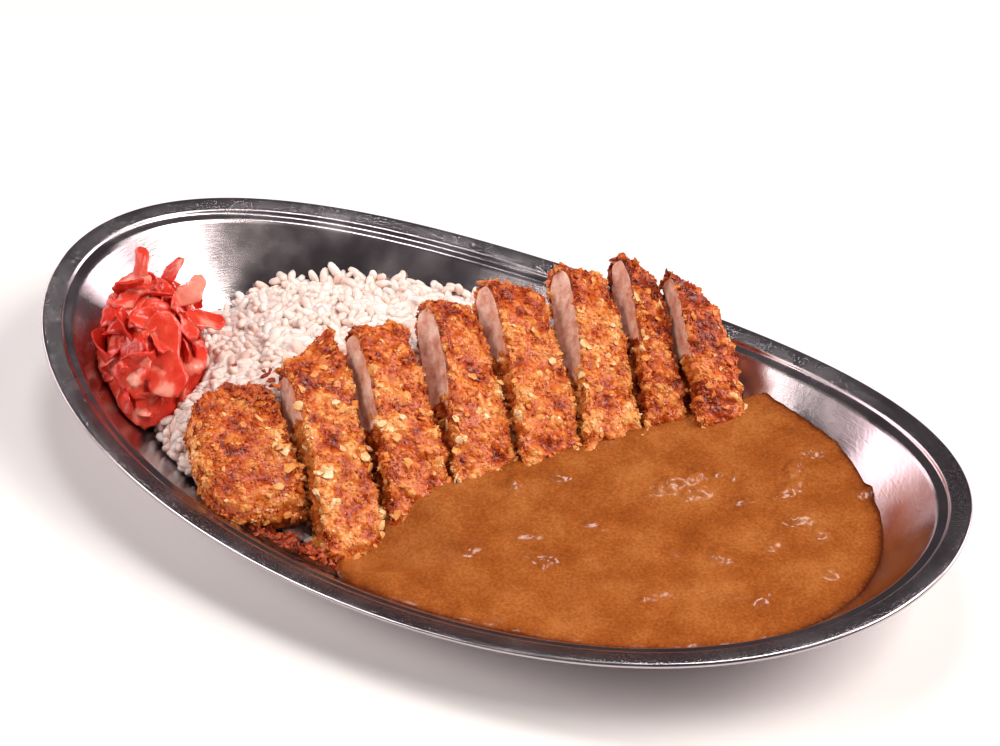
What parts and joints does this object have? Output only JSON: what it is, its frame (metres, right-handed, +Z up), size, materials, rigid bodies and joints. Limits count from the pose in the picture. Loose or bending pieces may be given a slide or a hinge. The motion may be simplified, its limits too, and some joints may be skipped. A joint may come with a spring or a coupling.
{
  "type": "chicken katsu curry plate",
  "caption": "Sliced breaded cutlet laid across white rice and brown curry sauce with red pickles, on an oval boat-shaped steel plate with raised ends.",
  "frame": {"origin": "centre of the plate's footprint, on the surface it stands on", "axes": "+X along the plate's long axis towards the end with the sauce, +Y towards the far side, +Z up"},
  "size_m": [0.2966, 0.1686, 0.048],
  "materials": {
    "stainless": "polished stainless steel, finely scratched",
    "rice": "moist boiled short-grain rice, stands in for food",
    "curry_sauce": "glossy thick brown curry sauce",
    "red_pickle": "wet translucent red pickled slices",
    "breaded_cutlet": "rough golden-brown fried breadcrumb crust, pale meat at the cuts"
  },
  "bodies": {
    "root": {"plate": "stainless", "rice": "rice", "curry": "curry_sauce", "pickles": "red_pickle", "katsu_1": "breaded_cutlet", "katsu_2": "breaded_cutlet", "katsu_3": "breaded_cutlet", "katsu_4": "breaded_cutlet", "katsu_5": "breaded_cutlet", "katsu_6": "breaded_cutlet", "katsu_7": "breaded_cutlet", "katsu_8": "breaded_cutlet"}
  },
  "joints": []
}
